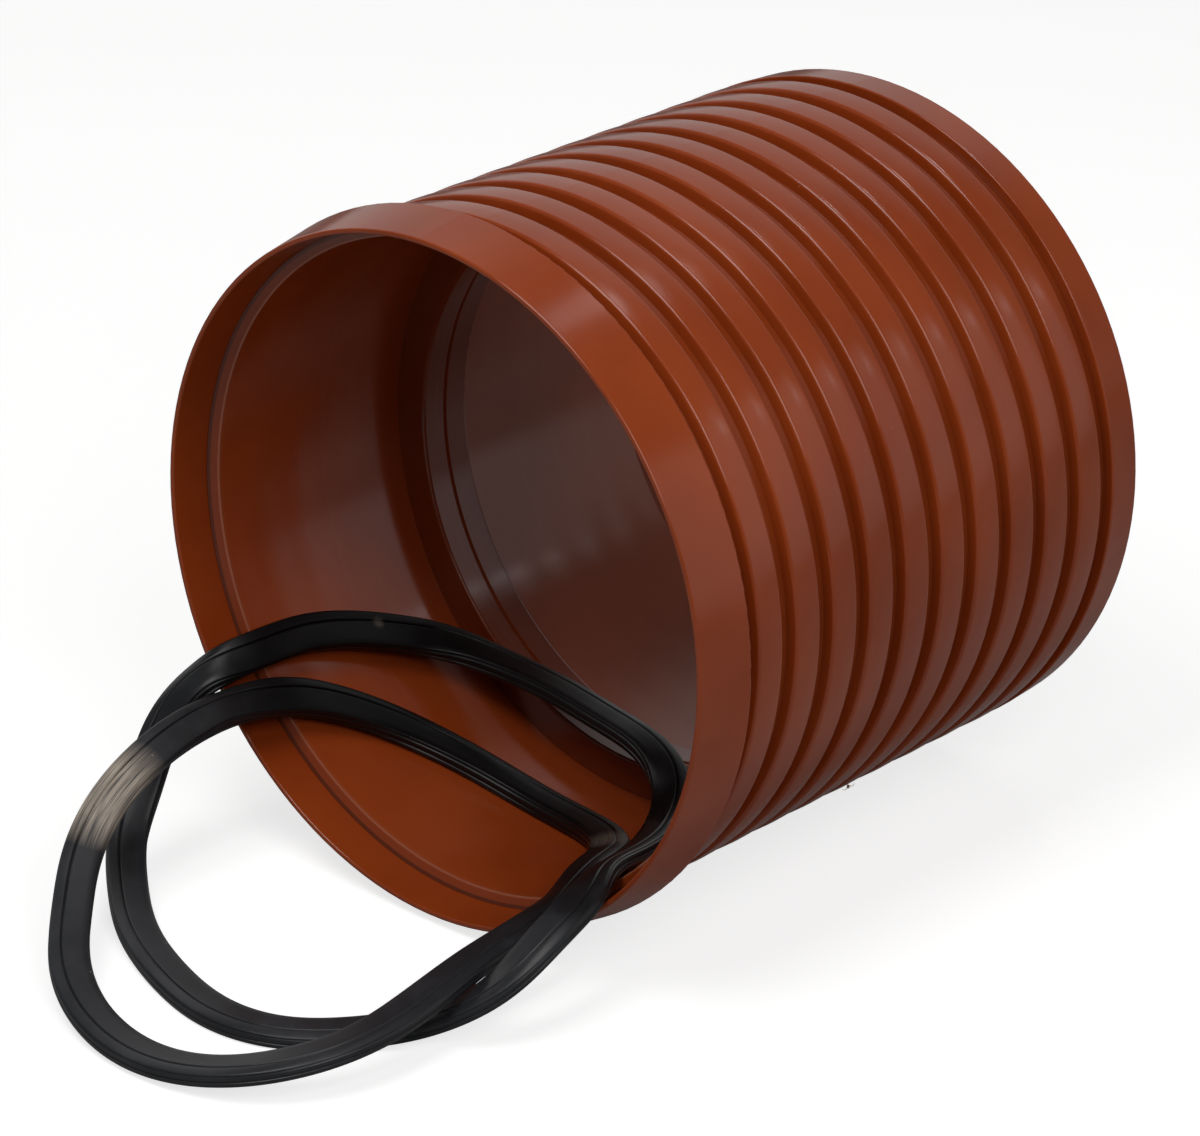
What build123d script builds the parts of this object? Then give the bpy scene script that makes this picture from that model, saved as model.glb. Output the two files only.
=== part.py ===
from build123d import *
from math import cos, radians, sin, sqrt
import os

# Double socket coupling for buried corrugated drain pipe, lying on its side on a level floor,
# with its own two rubber seal rings taken out and left half in the front mouth.
# Millimetres. X runs along the coupling, from the front mouth to the rear one, and Z is up.
# The origin is on the axis, in the plane where a pipe pushed into the rear mouth stops.

# Pipe that the coupling takes
pipe_diameter = 400.0
socket_clearance = 1.8          # between pipe and socket wall, all round
socket_radius = pipe_diameter / 2 + socket_clearance

# Lengths along the axis
front_socket_depth = 184.5      # mouth to stop
rear_socket_depth = 179.0
stop_width = 38.0

# Wall and stop
wall = 3.2                      # between the ribs
stop_height = 21.8              # how far the stop stands in from the socket wall
stop_corner = 2.0
stop_seam_width = 3.0           # shallow groove round the middle of the stop
stop_seam_depth = 0.8

# Flared entry of each mouth
front_entry_depth = 25.8        # gently tapered part, inside the long front collar
rear_entry_depth = 13.0         # the same inside the short rear collar
front_entry_rise = 6.6          # top of the step above the socket wall
rear_entry_rise = 4.4
entry_step = 3.8                # length of the short steep step down to the socket wall
lip_nose = 1.4                  # rounding of each mouth's rim

# Collars round the mouths
front_lip_rise = 12.2           # outside of the lip above the socket wall
front_collar_length = 37.2
front_collar_flare = 6.0        # the front collar widens towards its back edge
rear_lip_rise = 9.0
rear_collar_length = 25.2
rear_collar_flare = 1.6
lip_thickness = 3.2
collar_corner = 1.2

# Ribs
rib_count = 10
rib_height = 7.6                # above the wall between them
rib_crown = 20.4                # width at the top
rib_foot = 23.0                 # width at the wall
rib_arch = 0.6                  # rise of the crown's middle
rib_corner = 2.4
collar_gap = 14.0               # front collar to the first rib's foot

# Seal rings, a flat band each
seal_width = 24.0
seal_thickness = 10.0
seal_sections = 48              # places where the band's section is set
seal_turn_in = 40.0             # stretch at the mouth over which the band tips from floor to wall

wall_radius = socket_radius + wall
rib_radius = wall_radius + rib_height
stop_radius = socket_radius - stop_height
front_lip_radius = socket_radius + front_lip_rise
rear_lip_radius = socket_radius + rear_lip_rise

front_lip = -stop_width - front_socket_depth
front_collar_back = front_lip + front_collar_length
rear_lip = rear_socket_depth
rear_collar_front = rear_lip - rear_collar_length
first_foot = front_collar_back + collar_gap
rib_pitch = (rear_collar_front - first_foot) / rib_count
stop_middle = -stop_width / 2

same_place = 0.01               # two corners nearer than this are in line


def corners_at(sketch, axis, place):
    """The sketch's corners at one place along an axis."""
    return sketch.vertices().filter_by_position(axis, place - same_place, place + same_place)


# Coupling: one moulded piece, turned from its half section
with BuildPart() as coupling_sleeve:
    with BuildSketch(Plane.XZ) as half_section:
        with BuildLine():
            Polyline(
                (front_lip, front_lip_radius),
                (front_collar_back, front_lip_radius + front_collar_flare),
                (front_collar_back, wall_radius),
                (rear_collar_front, wall_radius),
                (rear_collar_front, rear_lip_radius + rear_collar_flare),
                (rear_lip, rear_lip_radius),
                (rear_lip, rear_lip_radius - lip_thickness),
                (rear_lip - rear_entry_depth, socket_radius + rear_entry_rise),
                (rear_lip - rear_entry_depth - entry_step, socket_radius),
                (0, socket_radius),
                (0, stop_radius),
                (stop_middle + stop_seam_width / 2, stop_radius),
                (stop_middle, stop_radius + stop_seam_depth),
                (stop_middle - stop_seam_width / 2, stop_radius),
                (-stop_width, stop_radius),
                (-stop_width, socket_radius),
                (front_lip + front_entry_depth + entry_step, socket_radius),
                (front_lip + front_entry_depth, socket_radius + front_entry_rise),
                (front_lip, front_lip_radius - lip_thickness),
                close=True,
            )
        make_face()
        for rib in range(rib_count):
            foot = first_foot + rib * rib_pitch
            middle = foot + rib_foot / 2
            with BuildLine():
                crown = ThreePointArc(
                    (middle - rib_crown / 2, rib_radius - rib_arch),
                    (middle, rib_radius),
                    (middle + rib_crown / 2, rib_radius - rib_arch),
                )
                Polyline(
                    crown @ 1,
                    (foot + rib_foot, wall_radius),
                    (foot + rib_foot, socket_radius + wall / 2),
                    (foot, socket_radius + wall / 2),
                    (foot, wall_radius),
                    crown @ 0,
                )
            make_face()
        fillet(corners_at(half_section, Axis.Y, rib_radius - rib_arch), rib_corner)
        stop_corners = corners_at(half_section, Axis.Y, stop_radius).sort_by(Axis.X)
        fillet([stop_corners[0], stop_corners[-1]], stop_corner)
        fillet(corners_at(half_section, Axis.X, front_collar_back).sort_by(Axis.Y)[-1], collar_corner)
        fillet(corners_at(half_section, Axis.X, rear_collar_front).sort_by(Axis.Y)[-1], collar_corner)
        for lip in (front_lip, rear_lip):
            fillet(corners_at(half_section, Axis.X, lip), lip_nose)
    revolve(axis=Axis.X)


def band_up(point, mouth):
    """Which way the band's flat face looks: up on the floor, at the axis inside the socket."""
    reach = sqrt(point.Y ** 2 + point.Z ** 2)
    share = min(max((point.X - mouth) / seal_turn_in + 0.5, 0), 1)
    inward = Vector(0, -point.Y / reach, -point.Z / reach)
    return (inward * share + Vector(0, 0, 1) * (1 - share)).normalized()


def seal_ring(route):
    """One closed band along points: from the front lip, round from the lowest line, in from the wall."""
    points = []
    for along, around, inward in route:
        reach = socket_radius - inward
        points.append((front_lip + along, reach * sin(radians(around)), -reach * cos(radians(around))))
    with BuildLine():
        line = Spline(*points, periodic=True)
    planes = []
    for place in range(seal_sections):
        centre = line @ (place / seal_sections)
        run = line % (place / seal_sections)
        up = band_up(centre, front_lip)
        planes.append(Plane(origin=centre, x_dir=up.cross(run), z_dir=run))
    half = seal_sections // 2
    with BuildPart() as ring:
        for stretch in (planes[:half + 1], planes[half:] + planes[:1]):
            for plane in stretch:
                with BuildSketch(plane):
                    Rectangle(seal_width, seal_thickness)
            loft(ruled=True)
    return ring


# The front mouth's ring lies over the lip, round the socket floor and out onto the other ring
seal_ring_front = seal_ring([
    (-14, 50.7, 9.2), (13, 50, 13.7), (60, 43.9, 10.1), (93, 35.8, 7), (121, 21.6, 6.1),
    (128, 5.9, 5.8), (119, -8.5, 6.6), (98, -17.3, 7), (51, -25.2, 9.4), (-8, -29.7, 0.2),
    (-55, -28.8, -3.6), (-120, -30, -14.1), (-169, -28.5, -17.9), (-212, -21.2, -13.8), (-231, -10.3, -10.6),
    (-234, 3.2, -10.5), (-224, 14.9, -12.4), (-204, 24.8, -15.2), (-175, 33.2, -15.7), (-149, 39.9, -14.7),
    (-113, 46, -9.7), (-75, 49.4, -2.4), (-46, 50.5, 2.2),
])

# The rear mouth's ring reaches further in, leans on the stop and passes below the other
seal_ring_rear = seal_ring([
    (-8, 58.8, 0.8), (27, 59, 9.4), (58, 58.5, 10.6), (94, 55.7, 11.8), (128, 51.2, 13.3),
    (152, 45.9, 19.3), (164, 36.2, 35.8), (167, 18.7, 55.1), (167, 2, 55.7), (167, -11, 43.9),
    (155, -18.5, 25.7), (128, -22.9, 11.8), (97, -27.4, 8.1), (62, -32.1, 8.1), (22, -37.7, 7.2),
    (-14, -41.8, -2.2), (-46, -40.8, -12.3), (-76, -35.3, -24.9), (-101, -26.3, -28.1), (-136, -17.9, -22.1),
    (-161, -9.8, -15.4), (-169, 1.3, -12.3), (-162, 10.8, -16.1), (-151, 18.9, -23.4), (-132, 28.4, -35.8),
    (-106, 36.5, -47), (-83, 42.6, -50.9), (-63, 47.2, -42.3), (-46, 52, -31.8), (-26, 56.9, -14.3),
])

coupling_sleeve.part.label = "coupling_sleeve"
seal_ring_front.part.label = "seal_ring_front"
seal_ring_rear.part.label = "seal_ring_rear"

os.makedirs("parts", exist_ok=True)
for piece in (coupling_sleeve, seal_ring_front, seal_ring_rear):
    export_step(piece.part, f"parts/{piece.part.label}.step")
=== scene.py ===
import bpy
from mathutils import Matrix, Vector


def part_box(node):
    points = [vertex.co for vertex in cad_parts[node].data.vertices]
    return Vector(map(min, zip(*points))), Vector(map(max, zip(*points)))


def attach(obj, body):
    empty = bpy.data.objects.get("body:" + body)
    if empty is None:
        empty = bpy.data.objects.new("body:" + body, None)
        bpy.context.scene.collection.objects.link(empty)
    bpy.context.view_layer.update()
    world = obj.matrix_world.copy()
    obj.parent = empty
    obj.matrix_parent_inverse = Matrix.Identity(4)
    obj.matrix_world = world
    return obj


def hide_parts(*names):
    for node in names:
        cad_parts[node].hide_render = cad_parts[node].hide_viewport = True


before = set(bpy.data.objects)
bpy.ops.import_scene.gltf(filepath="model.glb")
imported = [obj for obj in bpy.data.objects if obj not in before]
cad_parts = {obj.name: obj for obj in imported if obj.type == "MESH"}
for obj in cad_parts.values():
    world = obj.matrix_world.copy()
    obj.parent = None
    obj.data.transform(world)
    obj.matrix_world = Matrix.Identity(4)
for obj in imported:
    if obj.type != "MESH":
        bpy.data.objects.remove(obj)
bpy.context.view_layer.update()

import bpy
import bmesh
import numpy as np
from math import cos, pi, radians, sin
from mathutils import Vector

mm = 0.001
lowest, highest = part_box("coupling_sleeve")
frontLip = lowest.x           # the seal rings' routes start from this rim
floorHeight = lowest.z        # the coupling lies on the floor
middle = (lowest + highest) / 2


# sRGB hex to the linear colour that the shaders take
def linearColour(hexCode):
    values = [int(hexCode[i:i + 2], 16) / 255 for i in (0, 2, 4)]
    return tuple(v / 12.92 if v < 0.04045 else ((v + 0.055) / 1.055) ** 2.4 for v in values) + (1.0,)


# one node, its settings by attribute or socket, and what feeds each of its sockets;
# a colour Mix has its share at 0, its two colours at 6 and 7, and its result at output 2
def addNode(tree, kind, settings=None, links=None):
    node = tree.nodes.new("ShaderNode" + kind)
    for name, value in (settings or {}).items():
        if hasattr(node, str(name)):
            setattr(node, name, value)
        else:
            node.inputs[name].default_value = value
    for name, source in (links or {}).items():
        tree.links.new(source, node.inputs[name])
    return node


def newMaterial(name):
    material = bpy.data.materials.new(name)
    material.use_nodes = True
    material.node_tree.nodes.clear()
    return material, material.node_tree


# a way out from the middle: degrees round from +X towards +Y, and degrees up
def outwards(turned, raised):
    t, r = radians(turned), radians(raised)
    return Vector((cos(t) * cos(r), sin(t) * cos(r), sin(r)))


# Camera, at the photograph's place: metres and degrees

camera = {
    "place": (-2.2121, -1.9653, 1.2476),
    "heading": 47.446,      # from +Y towards +X
    "down": 23.855,
    "lens": 158.6,          # mm, for the sensor's width below
    "sensor": 36,           # mm
    "sight": 60,            # how far it sees
}


def setCamera():
    data = bpy.data.cameras.new("camera")
    data.sensor_width = camera["sensor"]
    data.lens = camera["lens"]
    data.clip_end = camera["sight"]
    rig = bpy.data.objects.new("camera", data)
    bpy.context.scene.collection.objects.link(rig)
    rig.location = camera["place"]
    h, d = radians(camera["heading"]), radians(camera["down"])
    look = Vector((sin(h) * cos(d), cos(h) * cos(d), -sin(d)))
    rig.rotation_euler = look.to_track_quat("-Z", "Y").to_euler()
    bpy.context.scene.camera = rig
    print("camera set")


# Studio: white paper floor, a dim room and soft boxes

studio = {
    "roomStrength": 0.05,
    "wallStrength": 0.5,          # pale wall behind the part, which only reflections show
    "wallRound": 42.0,            # degrees from +X towards +Y
    "wallHeight": 12.0,           # degrees
    "wallReach": (28.0, 54.0),    # degrees from its middle: full out to here, gone at there
    "mirroredRoom": 0.1,          # the rest of the room in reflections
    "floorColour": "BEBEBD",
    "floorRoughness": 0.6,
    "floorGlow": 0.75,            # plain white that the camera sees on top of the lit floor
    "floorReach": 14.0,           # metres from the part to each side
}

# round from +X towards +Y and height in degrees, distance and size in metres, power in watts
softBoxes = {
    "frontOverhead": {"round": 184, "height": 61, "away": 2.6, "size": 1.2, "power": 23},
    "cameraSide": {"round": 240, "height": 37, "away": 2.6, "size": 1.2, "power": 15},
    "overhead": {"round": 0, "height": 88, "away": 2.6, "size": 1.2, "power": 4},
    "backOverhead": {"round": -6, "height": 62, "away": 2.6, "size": 0.3, "power": 3.6},
    "backSide": {"round": -39, "height": 29, "away": 2.6, "size": 0.12, "power": 0.12},
    "farSide": {"round": 86, "height": 22, "away": 2.6, "size": 1.6, "power": 4},
    "lowRight": {"round": 298, "height": 12, "away": 2.6, "size": 2.4, "power": 8},
}


# 1 where the camera sees a surface, straight or through something clear
def seenDirectly(tree, rays):
    seen = addNode(tree, "Math", {"operation": "MAXIMUM"},
                   {0: rays.outputs["Is Camera Ray"], 1: rays.outputs["Is Transmission Ray"]})
    return seen.outputs[0]


def coatedPaper():
    # coated background paper: even and matt, so it shows only the soft shadow under the part
    material, tree = newMaterial("coatedPaper")
    paper = addNode(tree, "BsdfDiffuse", {"Color": linearColour(studio["floorColour"]),
                                          "Roughness": studio["floorRoughness"]})
    seen = seenDirectly(tree, addNode(tree, "LightPath"))
    strength = addNode(tree, "Math", {"operation": "MULTIPLY", 1: studio["floorGlow"]}, {0: seen})
    glow = addNode(tree, "Emission", {"Color": (1, 1, 1, 1)}, {"Strength": strength.outputs[0]})
    both = addNode(tree, "AddShader", links={0: paper.outputs[0], 1: glow.outputs[0]})
    addNode(tree, "OutputMaterial", links={"Surface": both.outputs[0]})
    return material


def layFloor():
    reach = studio["floorReach"]
    mesh = bpy.data.meshes.new("floor")
    corners = [(middle.x + x * reach, middle.y + y * reach, floorHeight)
               for x, y in ((-1, -1), (1, -1), (1, 1), (-1, 1))]
    mesh.from_pydata(corners, [], [(0, 1, 2, 3)])
    floor = bpy.data.objects.new("floor", mesh)
    bpy.context.scene.collection.objects.link(floor)
    floor.data.materials.append(coatedPaper())


# the camera sees the room white, reflections see it dark with one pale wall, and it lights only faintly
def setRoom():
    world = bpy.data.worlds.new("room")
    bpy.context.scene.world = world
    world.use_nodes = True
    tree = world.node_tree
    tree.nodes.clear()
    rays = addNode(tree, "LightPath")
    way = addNode(tree, "TexCoord").outputs["Generated"]
    wallWay = outwards(studio["wallRound"], studio["wallHeight"])
    near = addNode(tree, "VectorMath", {"operation": "DOT_PRODUCT", 1: wallWay}, {0: way})
    full, gone = studio["wallReach"]
    wall = addNode(tree, "MapRange", {"interpolation_type": "SMOOTHSTEP", "From Min": cos(radians(gone)),
                                      "From Max": cos(radians(full)), "To Min": studio["mirroredRoom"],
                                      "To Max": studio["wallStrength"]},
                   {0: near.outputs["Value"]})
    mirrored = addNode(tree, "Math", {"operation": "MULTIPLY_ADD", 2: studio["roomStrength"]},
                       {0: wall.outputs[0], 1: rays.outputs["Is Glossy Ray"]})
    dim = addNode(tree, "Background", {"Color": (1, 1, 1, 1)}, {"Strength": mirrored.outputs[0]})
    white = addNode(tree, "Background", {"Color": (1, 1, 1, 1), "Strength": 1.0})
    both = addNode(tree, "MixShader", links={0: seenDirectly(tree, rays), 1: dim.outputs[0],
                                             2: white.outputs[0]})
    addNode(tree, "OutputWorld", links={"Surface": both.outputs[0]})


def hangSoftBoxes():
    for name, box in softBoxes.items():
        data = bpy.data.lights.new(name, "AREA")
        data.shape = "SQUARE"
        data.size = box["size"]
        data.energy = box["power"]
        lamp = bpy.data.objects.new(name, data)
        bpy.context.scene.collection.objects.link(lamp)
        towards = outwards(box["round"], box["height"])
        lamp.location = middle + towards * box["away"]
        lamp.rotation_euler = (-towards).to_track_quat("-Z", "Y").to_euler()


# Coupling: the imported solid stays, and gets its finish

# an "Edges" pair is the values of a noise between which what it draws fades in, and a "Share" is
# how much of its colour covers the plastic
sleeve = {
    "colour": "A5461B",
    "shade": "963C14",            # where the pigment is slightly thicker
    "clouds": 111.1,              # mm, size of the pigment's clouds
    "cloudEdges": (0.35, 0.65),
    "paintedReflectionLines": 11.0,            # mm between the faint pale lines round the bore, painted reflections of its waves
    "lineEdges": (0.58, 0.7),
    "lineShare": 0.05,
    # dust on the plastic; the same pale colour also makes the painted reflections in the bore and the painted
    # highlight below the front step
    "dustAndPaintedLight": "B58A74",
    "smudges": 76.92,             # mm, size of the dusty places
    "smudgeEdges": (0.58, 0.8),
    "smudgeShare": 0.05,
    "specks": 34.0,               # mm between dust specks
    "speckSize": 0.5,             # mm
    "speckShare": 0.5,
    # painted shade, in the grooves between the ribs and on the stop
    "paintedShade": "200804",
    "grooveShadeReach": (206.0, 211.0),    # mm from the axis: painted shade in the grooves is full to here, gone at there
    "grooveShadeShare": 0.22,
    "shadow": "240A04",           # in the corner above a mouth's step
    "boreRadius": 203.0,          # mm, all inside this is the bore
    "mouthRadius": 212.0,         # mm, all inside this is the bore or a mouth's entry
    "stretches": [                # mm along the axis from and to, out to which radius, colour and share
        (2.0, 180.0, "boreRadius", "dustAndPaintedLight", 0.12),           # painted reflection: a grey tint on the far socket's bore
        (-38.5, 0.5, "boreRadius", "paintedShade", 0.4),            # painted shade on the stop
        (-197.3, -195.7, "mouthRadius", "shadow", 0.6),     # dark line above the front mouth's step
        (-193.4, -192.4, "mouthRadius", "dustAndPaintedLight", 0.3),       # painted highlight along the step's edge below it
    ],
    "ribPitch": 32.51,            # mm
    "firstRib": -159.8,           # mm, middle of the first rib
    "sinkDepth": 0.04,            # mm, the bore's waves behind the ribs
    "toolLines": 1.3,             # mm, fine lines round the outside, drawn coarser than they are
    "toolLineDepth": 0.006,       # mm
    "grain": 2.4,                 # mm, orange peel of the moulded skin
    "grainDepth": 0.008,          # mm
    "roughness": (0.14, 0.21),    # where it is clean, and where it is smudged
    "glossEdges": (0.3, 0.75),
    "ior": 1.49,
}


def mouldedPolypropylene():
    # polypropylene, injection moulded on a polished tool: an even deep red brown with a waxy sheen
    material, tree = newMaterial("mouldedPolypropylene")
    place = addNode(tree, "TexCoord").outputs["Object"]
    parts = addNode(tree, "SeparateXYZ", links={0: place})
    x = parts.outputs["X"]
    across = addNode(tree, "CombineXYZ", links={"Y": parts.outputs["Y"], "Z": parts.outputs["Z"]})
    radius = addNode(tree, "VectorMath", {"operation": "LENGTH"}, {0: across.outputs[0]}).outputs["Value"]
    inside = addNode(tree, "Math", {"operation": "LESS_THAN", 1: sleeve["boreRadius"] * mm}, {0: radius})
    along = addNode(tree, "CombineXYZ", links={"X": x}).outputs[0]

    # pigment: soft clouds, and painted reflection lines round the bore that come and go
    cloud = addNode(tree, "TexNoise", {"Scale": 1 / (sleeve["clouds"] * mm), "Detail": 3.0},
                    {"Vector": place})
    low, high = sleeve["cloudEdges"]
    mixed = addNode(tree, "MapRange", {"From Min": low, "From Max": high}, {0: cloud.outputs[0]})
    pigment = addNode(tree, "Mix", {"data_type": "RGBA", 6: linearColour(sleeve["shade"]),
                                    7: linearColour(sleeve["colour"])}, {0: mixed.outputs[0]})
    reflectionNoise = addNode(tree, "TexNoise", {"Scale": 1 / (sleeve["paintedReflectionLines"] * mm), "Detail": 2.0},
                   {"Vector": along})
    low, high = sleeve["lineEdges"]
    line = addNode(tree, "MapRange", {"From Min": low, "From Max": high, "To Max": sleeve["lineShare"]},
                   {0: reflectionNoise.outputs[0]})
    boreReflectionLine = addNode(tree, "Math", {"operation": "MULTIPLY"}, {0: line.outputs[0], 1: inside.outputs[0]})
    lined = addNode(tree, "Mix", {"data_type": "RGBA", 7: linearColour(sleeve["dustAndPaintedLight"])},
                    {0: boreReflectionLine.outputs[0], 6: pigment.outputs[2]})

    # thin dust where hands and the store have been, and single specks
    smudge = addNode(tree, "TexNoise", {"Scale": 1 / (sleeve["smudges"] * mm), "Detail": 8.0,
                                        "Roughness": 0.7}, {"Vector": place})
    low, high = sleeve["smudgeEdges"]
    film = addNode(tree, "MapRange", {"From Min": low, "From Max": high, "To Max": sleeve["smudgeShare"]},
                   {0: smudge.outputs[0]})
    dusty = addNode(tree, "Mix", {"data_type": "RGBA", 7: linearColour(sleeve["dustAndPaintedLight"])},
                    {0: film.outputs[0], 6: lined.outputs[2]})
    cells = addNode(tree, "TexVoronoi", {"Scale": 1 / (sleeve["specks"] * mm)}, {"Vector": place})
    speck = addNode(tree, "Math", {"operation": "LESS_THAN", 1: sleeve["speckSize"] / sleeve["specks"]},
                    {0: cells.outputs["Distance"]})
    faint = addNode(tree, "Math", {"operation": "MULTIPLY", 1: sleeve["speckShare"]}, {0: speck.outputs[0]})
    colour = addNode(tree, "Mix", {"data_type": "RGBA", 7: linearColour(sleeve["dustAndPaintedLight"])},
                     {0: faint.outputs[0], 6: dusty.outputs[2]})

    # painted shade at the ground of the grooves, and painted shade, highlight and reflection in stretches
    # inside
    full, gone = sleeve["grooveShadeReach"]
    ground = addNode(tree, "MapRange", {"From Min": full * mm, "From Max": gone * mm,
                                        "To Min": sleeve["grooveShadeShare"], "To Max": 0.0}, {0: radius})
    outer = addNode(tree, "Math", {"operation": "SUBTRACT", 0: 1.0}, {1: inside.outputs[0]})
    paintedGrooveShade = addNode(tree, "Math", {"operation": "MULTIPLY"}, {0: ground.outputs[0], 1: outer.outputs[0]})
    colour = addNode(tree, "Mix", {"data_type": "RGBA", 7: linearColour(sleeve["paintedShade"])},
                     {0: paintedGrooveShade.outputs[0], 6: colour.outputs[2]})
    for start, end, widest, tint, share in sleeve["stretches"]:
        there = addNode(tree, "Math", {"operation": "COMPARE", 1: (start + end) / 2 * mm,
                                       2: (end - start) / 2 * mm}, {0: x})
        within = addNode(tree, "Math", {"operation": "LESS_THAN", 1: sleeve[widest] * mm}, {0: radius})
        stretch = addNode(tree, "Math", {"operation": "MULTIPLY"},
                          {0: there.outputs[0], 1: within.outputs[0]})
        soft = addNode(tree, "Math", {"operation": "MULTIPLY", 1: share}, {0: stretch.outputs[0]})
        colour = addNode(tree, "Mix", {"data_type": "RGBA", 7: linearColour(sleeve[tint])},
                         {0: soft.outputs[0], 6: colour.outputs[2]})

    # relief: sink marks behind the ribs, fine turning lines, and the skin's grain
    turn = addNode(tree, "Math", {"operation": "MULTIPLY_ADD", 1: 2 * pi / (sleeve["ribPitch"] * mm),
                                  2: -2 * pi * sleeve["firstRib"] / sleeve["ribPitch"]}, {0: x})
    wave = addNode(tree, "Math", {"operation": "COSINE"}, {0: turn.outputs[0]})
    sink = addNode(tree, "Math", {"operation": "MULTIPLY"}, {0: wave.outputs[0], 1: inside.outputs[0]})
    sunk = addNode(tree, "Bump", {"Strength": 1.0, "Distance": sleeve["sinkDepth"] * mm},
                   {"Height": sink.outputs[0]})
    fine = addNode(tree, "TexNoise", {"Scale": 1 / (sleeve["toolLines"] * mm), "Detail": 2.0},
                   {"Vector": along})
    lines = addNode(tree, "Bump", {"Strength": 1.0, "Distance": sleeve["toolLineDepth"] * mm},
                    {"Height": fine.outputs[0], "Normal": sunk.outputs[0]})
    peel = addNode(tree, "TexNoise", {"Scale": 1 / (sleeve["grain"] * mm), "Detail": 2.0}, {"Vector": place})
    skin = addNode(tree, "Bump", {"Strength": 1.0, "Distance": sleeve["grainDepth"] * mm},
                   {"Height": peel.outputs[0], "Normal": lines.outputs[0]})

    low, high = sleeve["glossEdges"]
    clean, smudged = sleeve["roughness"]
    gloss = addNode(tree, "MapRange", {"From Min": low, "From Max": high, "To Min": clean,
                                       "To Max": smudged}, {0: smudge.outputs[0]})
    shader = addNode(tree, "BsdfPrincipled", {"IOR": sleeve["ior"], "Metallic": 0.0},
                     {"Base Color": colour.outputs[2], "Roughness": gloss.outputs[0],
                      "Normal": skin.outputs[0]})
    addNode(tree, "OutputMaterial", links={"Surface": shader.outputs[0]})
    return material


def dressSleeve():
    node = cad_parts["coupling_sleeve"]
    node.data.materials.clear()
    node.data.materials.append(mouldedPolypropylene())
    print("sleeve dressed")


# Torn curl: a few millimetres of plastic that a knock has lifted off a rib's crown

tornCurl = {
    "place": (2.5, -0.6355, -0.7721),     # mm along, and which way out from the axis
    "radius": 212.7,                      # mm, just on the crown
    "blades": (15, 130, 245, 300),        # degrees, which way each points
    "length": 4.6,                        # mm
    "rise": 2.0,                          # mm
    "bend": 2.7,                          # radians over the length
    "width": 1.1,                         # mm at the foot
    "taper": 0.76,                        # share of the width that is gone at the tip
    "thick": 0.25,                        # mm
    "steps": 5,                           # lengths that each blade is made of
    "colour": "E0BFAE",
    "fibres": 0.8,                        # mm
    "fibreDepth": 0.1,                    # mm
    "roughness": 0.6,
}


def whitenedPolypropylene():
    # the same polypropylene where it was torn: stress has whitened it, so it is pale, chalky and matt
    material, tree = newMaterial("whitenedPolypropylene")
    place = addNode(tree, "TexCoord").outputs["Object"]
    fibres = addNode(tree, "TexNoise", {"Scale": 1 / (tornCurl["fibres"] * mm), "Detail": 3.0},
                     {"Vector": place})
    colour = addNode(tree, "Mix", {"data_type": "RGBA", 6: linearColour(sleeve["colour"]),
                                   7: linearColour(tornCurl["colour"])}, {0: fibres.outputs[0]})
    torn = addNode(tree, "Bump", {"Strength": 1.0, "Distance": tornCurl["fibreDepth"] * mm},
                   {"Height": fibres.outputs[0]})
    shader = addNode(tree, "BsdfPrincipled", {"IOR": sleeve["ior"], "Roughness": tornCurl["roughness"]},
                     {"Base Color": colour.outputs[2], "Normal": torn.outputs[0]})
    addNode(tree, "OutputMaterial", links={"Surface": shader.outputs[0]})
    return material


def liftTornCurl():
    x, outY, outZ = tornCurl["place"]
    out = Vector((0, outY, outZ))
    foot = out * tornCurl["radius"] * mm + Vector((x * mm, 0, 0))
    around = out.cross(Vector((1, 0, 0)))
    lift = out * tornCurl["thick"] * mm
    mesh = bmesh.new()
    for turn in tornCurl["blades"]:
        ahead = Vector((1, 0, 0)) * cos(radians(turn)) + around * sin(radians(turn))
        across = ahead.cross(out)
        rings = []
        for step in range(tornCurl["steps"] + 1):
            s = step / tornCurl["steps"]
            rise = tornCurl["rise"] * sin(tornCurl["bend"] * s)
            centre = foot + (ahead * tornCurl["length"] * s + out * rise) * mm
            half = across * tornCurl["width"] / 2 * (1 - tornCurl["taper"] * s) * mm
            rings.append([mesh.verts.new(v) for v in (centre - half, centre + half,
                                                      centre + half + lift, centre - half + lift)])
        for near, far in zip(rings, rings[1:]):
            for k in range(4):
                mesh.faces.new((near[k], near[(k + 1) % 4], far[(k + 1) % 4], far[k]))
        mesh.faces.new(rings[0][::-1])
        mesh.faces.new(rings[-1])
    bmesh.ops.recalc_face_normals(mesh, faces=mesh.faces)
    data = bpy.data.meshes.new("tornCurl")
    mesh.to_mesh(data)
    mesh.free()
    data.materials.append(whitenedPolypropylene())
    curl = bpy.data.objects.new("tornCurl", data)
    bpy.context.scene.collection.objects.link(curl)
    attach(curl, "root")
    print("torn curl lifted")


# Seal rings: extruded bands with a plain face, a chamfered strip along the outside and ridged edges

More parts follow.
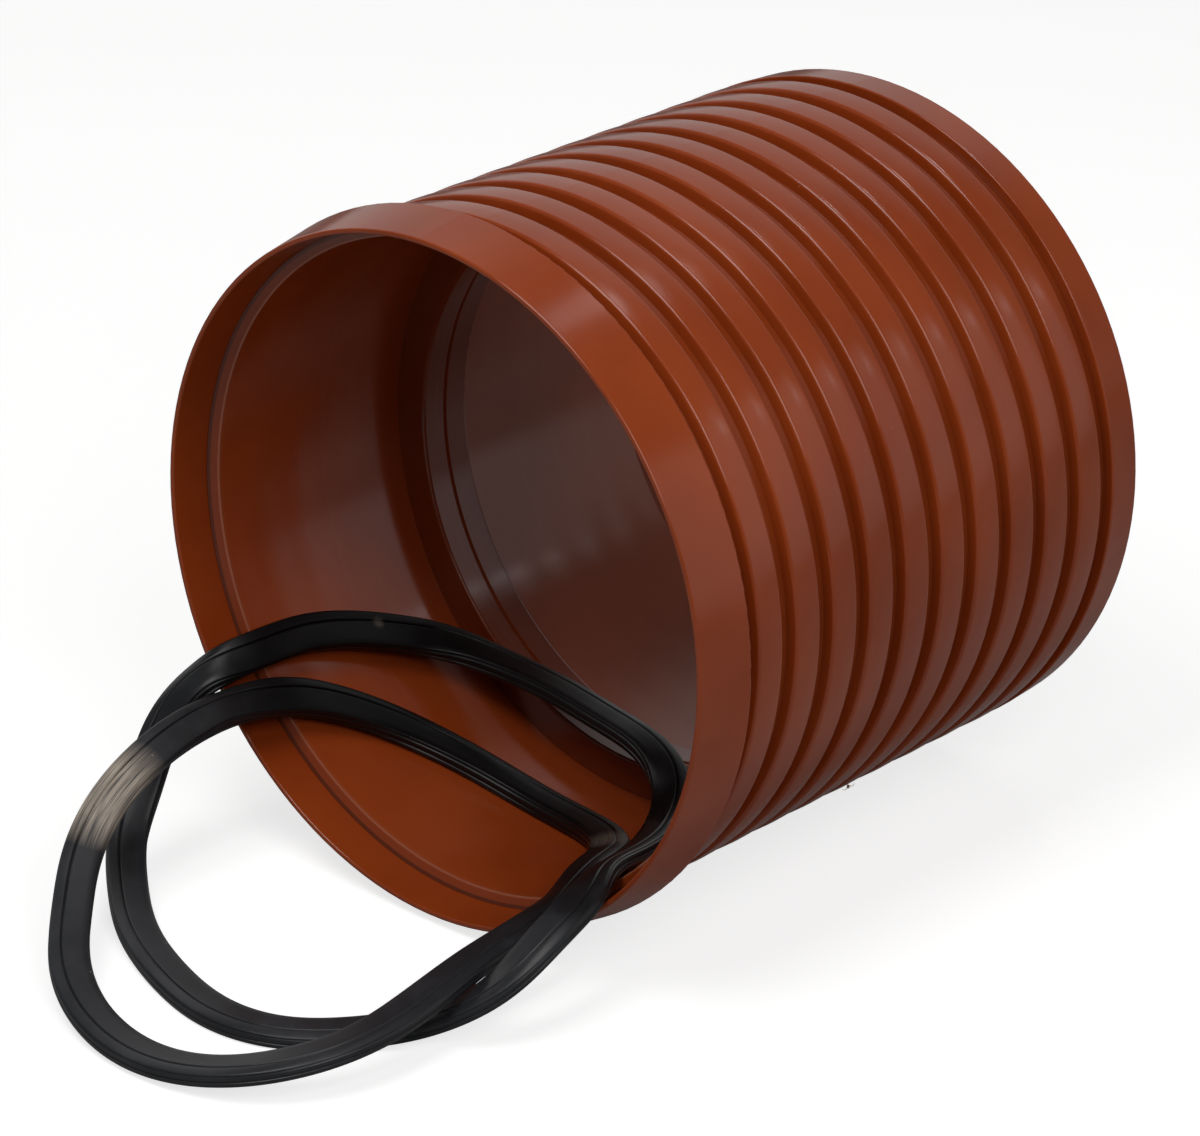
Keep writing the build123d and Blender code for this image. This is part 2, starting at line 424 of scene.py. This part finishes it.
band = {
    "socket": 201.8,          # mm, radius of the wall that the routes are measured from
    "turnIn": 40.0,           # mm, stretch at the mouth over which the band tips from floor to wall
    "stations": 440,          # sections round each loop
    "smoothing": 26,          # passes that take the corners out of the drawn route and its twist
    "sharpFrom": 50,          # degrees between faces

    # mm from the loop's inside (-) to its outside (+), and up; it starts under the inner edge
    "section": [
        (-11.0, -5.0), (-11.6, -4.6), (-12.0, -3.9), (-12.0, -1.9), (-11.3, -1.4), (-11.3, -1.0),
        (-12.0, -0.5), (-12.0, 2.1), (-11.8, 2.6), (-11.2, 2.8), (-10.9, 3.2), (-10.9, 4.1),
        (-10.6, 4.7), (-10.0, 5.0), (-6.0, 5.0), (-1.0, 5.0), (3.4, 5.0), (4.0, 4.9), (4.3, 4.5),
        (4.5, 3.9), (4.8, 3.7), (5.1, 3.9), (5.3, 4.5), (5.7, 4.8), (6.3, 4.8), (8.4, 4.1),
        (10.5, 3.4), (11.2, 3.0), (11.5, 2.5), (11.2, 2.0), (11.3, 1.7), (11.9, 1.3), (12.0, 0.8),
        (12.0, -0.8), (11.4, -1.3), (11.4, -1.7), (12.0, -2.2), (12.0, -3.9), (11.6, -4.6),
        (11.0, -5.0), (4.0, -5.0), (-4.0, -5.0),
    ],
}

# each point: mm along from the front lip, degrees round from the lowest line, mm in from the wall,
# and degrees by which the band leans, its outer edge up
sealRoutes = {
    "frontSeal": [
        (-14, 51.5, 9.2, 22), (13, 50, 13.7, 8), (60, 43.9, 10.1, 0), (93, 35.8, 7, 0), (121, 21.6, 6.1, 0),
        (128, 5.9, 5.8, 0), (119, -8.5, 6.6, 0), (98, -17.3, 7, 0), (51, -25.2, 9.4, 0),
        (-8, -30.4, -0.6, 12), (-56, -29.6, -5.6, 8), (-120, -30, -13.9, 0), (-169, -28.5, -17.9, 4),
        (-212, -21.2, -13.8, 0),
        (-231, -10.3, -10.6, 0), (-234, 3.2, -10.5, 0), (-224, 14.9, -12.4, 0), (-204, 24.8, -15.2, 4),
        (-175, 33.2, -15.7, 8), (-149, 39.9, -14.7, 14), (-113, 46.2, -9.7, 26), (-75, 50, -2.4, 36),
        (-46, 51.5, 2.2, 34),
    ],
    "rearSeal": [
        (-8, 58.8, 0.8, 10), (27, 59, 9.4, 0), (58, 58.5, 10.6, 0), (94, 55.7, 11.8, 0), (128, 51.2, 13.3, 0),
        (152, 45.9, 19.3, 0), (164, 36.2, 35.8, 0), (167, 18.7, 55.1, 0), (167, 2, 55.7, 0),
        (167, -11, 43.9, 0), (155, -18.5, 25.7, 0), (128, -22.9, 11.8, 0), (97, -27.4, 8.1, 0),
        (62, -32.1, 8.1, 0), (22, -37.7, 7.2, 0), (-14, -41.8, -2.2, 0), (-46, -40.6, -11.8, 0),
        (-76, -35.3, -24.4, 0), (-101, -26.3, -28.1, 0), (-136, -17.9, -22.1, 0), (-161, -9.8, -15.4, 0),
        (-169, 1.3, -12.3, 0), (-162, 10.8, -16.1, 0), (-151, 18.9, -23.4, 0), (-132, 28.4, -35.8, 4),
        (-106, 36.5, -47, 8), (-83, 42.6, -50.9, 12), (-63, 47.2, -42.3, 16), (-46, 52, -31.8, 20),
        (-26, 56.9, -14.3, 18),
    ],
}


# each value round a loop drawn towards its neighbours, a number of times
def eased(values):
    for _ in range(band["smoothing"]):
        values = (np.roll(values, 1, 0) + 2 * values + np.roll(values, -1, 0)) / 4
    return values


# a closed cubic through the points, its corners eased: its places, its directions, the way run up to
# the next place, and how many points are passed at each
def smoothLoop(points, count):
    p = np.array(points)
    after = np.roll(p, -1, 0)
    h = np.linalg.norm(after - p, axis=1)
    before = np.roll(h, 1)
    n = len(p)
    slopes = (after - p) / h[:, None]
    right = 3 * (h[:, None] * np.roll(slopes, 1, 0) + before[:, None] * slopes)
    system = np.zeros((n, n))
    for i in range(n):
        system[i, i] = 2 * (h[i] + before[i])
        system[i, (i - 1) % n] = h[i]
        system[i, (i + 1) % n] = before[i]
    tangents = np.linalg.solve(system, right)
    knots = np.concatenate(([0], np.cumsum(h)))
    places, passed = [], []
    for s in np.linspace(0, knots[-1], count, endpoint=False):
        i = min(int(np.searchsorted(knots, s, "right")) - 1, n - 1)
        t, j = (s - knots[i]) / h[i], (i + 1) % n
        places.append((2 * t ** 3 - 3 * t * t + 1) * p[i] + (t ** 3 - 2 * t * t + t) * tangents[i] * h[i]
                      + (3 * t * t - 2 * t ** 3) * p[j] + (t ** 3 - t * t) * tangents[j] * h[i])
        passed.append(i + t)
    places = eased(np.array(places))
    runs = np.roll(places, -1, 0) - np.roll(places, 1, 0)
    steps = np.linalg.norm(np.roll(places, -1, 0) - places, axis=1)
    return [Vector(v) for v in places], [Vector(v).normalized() for v in runs], np.cumsum(steps), passed


# where each section of the band lies: its place, its side towards the loop's outside and its upper side
def bandStations(name):
    points, leans = [], []
    for along, around, inward, lean in sealRoutes[name]:
        reach = (band["socket"] - inward) * mm
        points.append((frontLip + along * mm, reach * sin(radians(around)), -reach * cos(radians(around))))
        leans.append(lean)
    places, runs, way, passed = smoothLoop(points, band["stations"])
    sides = []
    for place, run, lean in zip(places, runs, np.interp(passed, range(len(leans) + 1), leans + leans[:1])):
        share = min(max((place.x - frontLip) / (band["turnIn"] * mm) + 0.5, 0), 1)
        share = share * share * (3 - 2 * share)     # starts and ends softly
        inwardWay = Vector((0, -place.y, -place.z)).normalized()
        up = (inwardWay * share + Vector((0, 0, 1)) * (1 - share)).normalized()
        side = up.cross(run).normalized()
        sides.append(side * cos(radians(lean)) + run.cross(side) * sin(radians(lean)))
    sides = eased(np.array(sides))
    stations = []
    for place, run, side in zip(places, runs, sides):
        side = Vector(side)
        side = (side - run * side.dot(run)).normalized()
        stations.append((place, side, run.cross(side)))
    return stations, way


# the band as one closed skin; its map gives the way along the band and round its section, in metres
def layBand(name, node):
    stations, way = bandStations(name)
    section = band["section"]
    size = len(section)
    edges = [Vector(section[(k + 1) % size]) - Vector(section[k]) for k in range(size)]
    girth = np.concatenate(([0], np.cumsum([edge.length for edge in edges]))) * mm
    mesh = bmesh.new()
    chart = mesh.loops.layers.uv.new("band")
    loops = [[mesh.verts.new(place + side * s * mm + top * h * mm) for s, h in section]
             for place, side, top in stations]
    for i, loop in enumerate(loops):
        after = loops[(i + 1) % len(loops)]
        start, end = (way[i - 1] if i else 0.0), way[i]
        for k in range(size):
            face = mesh.faces.new((loop[k], loop[(k + 1) % size], after[(k + 1) % size], after[k]))
            corners = ((start, girth[k]), (start, girth[k + 1]), (end, girth[k + 1]), (end, girth[k]))
            for corner, spot in zip(face.loops, corners):
                corner[chart].uv = spot
    bmesh.ops.recalc_face_normals(mesh, faces=mesh.faces)
    data = bpy.data.meshes.new(name)
    mesh.to_mesh(data)
    mesh.free()
    data.shade_smooth()
    data.set_sharp_from_angle(angle=radians(band["sharpFrom"]))
    ring = bpy.data.objects.new(name, data)
    bpy.context.scene.collection.objects.link(ring)
    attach(ring, "root")
    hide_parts(node)
    print(name, "laid,", round(way[-1] / mm), "mm round")
    return ring


rubber = {
    "colour": "0B0C0E",
    "paintedLightOutsideMouth": "2A2B2E",          # painted light: lighter grey where the rings leave the mouth, the plain colour being painted shade inside it
    "paintedLightFrom": (20, -80),     # mm along from the front lip: none at here, full out from there
    "dusty": "3A3B3F",
    "clouds": 45.45,              # mm, size of the dusty places
    "cloudEdges": (0.45, 0.8),
    "wornAndPaintedSheen": "CDBEAE",             # rubbed place where the surface has greyed; on the front seal's largest mark also a painted glossy highlight
    "markEdges": (0.32, 0.6),
    "markCore": 0.45,             # share of a mark's reach that is fully worn
    "streak": (45.0, 0.9),        # mm, length and width of the extrusion's streaks
    "streakDepth": 0.02,          # mm
    "specks": 19.0,               # mm between dust specks
    "speckSize": 0.45,            # mm
    "speckShare": 0.5,
    "roughness": (0.27, 0.48),    # where it is clean, and where it is dusty
    "glossEdges": (0.3, 0.75),
    "shine": 0.36,                # carbon black dulls the surface
    "ior": 1.52,

    # rubbed, rough and scuffed places, the front seal's first also a painted glossy highlight: middle in the
    # part's frame and reach in mm, and how strong
    "marks": {
        "frontSeal": [
            ((-336, 154, -145), 42, 0.95), ((-122, -56, -181), 20, 0.22), ((-142, 123, -150), 4, 0.3),
        ],
        "rearSeal": [
            ((-110, 152, -108), 5, 0.22),
        ],
    },
}


def extrudedRubber(name):
    # EPDM rubber, extruded, cut and joined to a ring: black with a dull shine and fine lengthwise streaks
    material, tree = newMaterial("extrudedRubber" + name[0].upper() + name[1:])
    place = addNode(tree, "TexCoord").outputs["Object"]
    chart = addNode(tree, "UVMap", {"uv_map": "band"})
    cloud = addNode(tree, "TexNoise", {"Scale": 1 / (rubber["clouds"] * mm), "Detail": 5.0,
                                       "Roughness": 0.62}, {"Vector": place})
    low, high = rubber["cloudEdges"]
    share = addNode(tree, "MapRange", {"From Min": low, "From Max": high}, {0: cloud.outputs[0]})
    parts = addNode(tree, "SeparateXYZ", links={0: place})
    # painted light and shade: the band is lighter outside the mouth and darker inside it
    none, full = rubber["paintedLightFrom"]
    outside = addNode(tree, "MapRange", {"From Min": frontLip + none * mm, "From Max": frontLip + full * mm},
                      {0: parts.outputs["X"]})
    plain = addNode(tree, "Mix", {"data_type": "RGBA", 6: linearColour(rubber["colour"]),
                                  7: linearColour(rubber["paintedLightOutsideMouth"])}, {0: outside.outputs[0]})
    dustShare = addNode(tree, "Math", {"operation": "MULTIPLY"}, {0: share.outputs[0], 1: outside.outputs[0]})
    base = addNode(tree, "Mix", {"data_type": "RGBA", 7: linearColour(rubber["dusty"])},
                   {0: dustShare.outputs[0], 6: plain.outputs[2]})
    cells = addNode(tree, "TexVoronoi", {"Scale": 1 / (rubber["specks"] * mm)}, {"Vector": place})
    speck = addNode(tree, "Math", {"operation": "LESS_THAN", 1: rubber["speckSize"] / rubber["specks"]},
                    {0: cells.outputs["Distance"]})
    faint = addNode(tree, "Math", {"operation": "MULTIPLY", 1: rubber["speckShare"]}, {0: speck.outputs[0]})
    colour = addNode(tree, "Mix", {"data_type": "RGBA", 7: linearColour(rubber["wornAndPaintedSheen"])},
                     {0: faint.outputs[0], 6: base.outputs[2]})

    # worn places, the largest also a painted highlight: patches with ragged ends, combed along the band by
    # its streaks
    long, wide = rubber["streak"]
    stretched = addNode(tree, "Mapping", {"Scale": (1 / (long * mm), 1 / (wide * mm), 1.0)},
                        {"Vector": chart.outputs[0]})
    streak = addNode(tree, "TexNoise", {"Scale": 1.0, "Detail": 3.0, "Roughness": 0.6},
                     {"Vector": stretched.outputs[0]})
    low, high = rubber["markEdges"]
    patchy = addNode(tree, "MapRange", {"From Min": low, "From Max": high}, {0: streak.outputs[0]})
    for spot, reach, strength in rubber["marks"][name]:
        away = addNode(tree, "VectorMath", {"operation": "DISTANCE", 1: [v * mm for v in spot]}, {0: place})
        near = addNode(tree, "MapRange", {"From Min": reach * mm, "From Max": reach * rubber["markCore"] * mm,
                                          "To Max": strength}, {0: away.outputs["Value"]})
        combed = addNode(tree, "Math", {"operation": "MULTIPLY"}, {0: near.outputs[0], 1: patchy.outputs[0]})
        colour = addNode(tree, "Mix", {"data_type": "RGBA", 7: linearColour(rubber["wornAndPaintedSheen"])},
                         {0: combed.outputs[0], 6: colour.outputs[2]})

    relief = addNode(tree, "Bump", {"Strength": 1.0, "Distance": rubber["streakDepth"] * mm},
                     {"Height": streak.outputs[0]})
    low, high = rubber["glossEdges"]
    clean, dulled = rubber["roughness"]
    gloss = addNode(tree, "MapRange", {"From Min": low, "From Max": high, "To Min": clean,
                                       "To Max": dulled}, {0: cloud.outputs[0]})
    shader = addNode(tree, "BsdfPrincipled", {"IOR": rubber["ior"], "Metallic": 0.0,
                                              "Specular IOR Level": rubber["shine"]},
                     {"Base Color": colour.outputs[2], "Roughness": gloss.outputs[0],
                      "Normal": relief.outputs[0]})
    addNode(tree, "OutputMaterial", links={"Surface": shader.outputs[0]})
    return material


bpy.context.scene.view_settings.view_transform = "Standard"
setCamera()
layFloor()
setRoom()
hangSoftBoxes()
print("studio built")
dressSleeve()
liftTornCurl()
for sealName, sealNode in (("frontSeal", "seal_ring_front"), ("rearSeal", "seal_ring_rear")):
    seal = layBand(sealName, sealNode)
    seal.data.materials.append(extrudedRubber(sealName))
